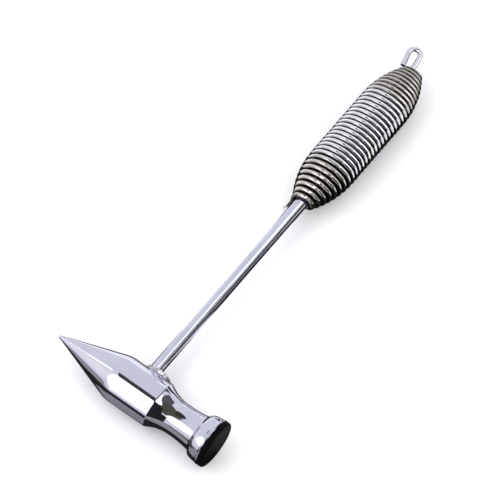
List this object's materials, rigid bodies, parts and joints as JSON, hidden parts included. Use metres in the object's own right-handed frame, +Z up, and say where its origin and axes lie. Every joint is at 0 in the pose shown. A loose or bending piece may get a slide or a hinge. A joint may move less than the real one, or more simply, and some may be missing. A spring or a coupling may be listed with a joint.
{
  "type": "spring-handled hammer",
  "caption": "Chromed percussion hammer: octagonal head with a conical pick and a round rubber-padded poll, on a thin rod with a coil-spring grip and a hanging loop.",
  "frame": {"origin": "on the surface the hammer lies on, under the middle of its outline", "axes": "+Z up from that surface, +Y along the handle towards the hanging loop, +X along the head from the pick towards the striking pad"},
  "size_m": [0.1138, 0.304, 0.0308],
  "materials": {
    "head_chrome": "mirror",
    "rod_chrome": "mirror",
    "wire_chrome": "mirror",
    "weld_chrome": "satin",
    "pad_rubber": "matt"
  },
  "bodies": {
    "root": {"head": "head_chrome", "striking_pad": "pad_rubber", "handle_rod": "rod_chrome", "rod_weld": "weld_chrome", "grip_spring": "wire_chrome", "tail_weld": "weld_chrome", "hanging_loop": "wire_chrome", "loop_weld": "weld_chrome"}
  },
  "joints": []
}
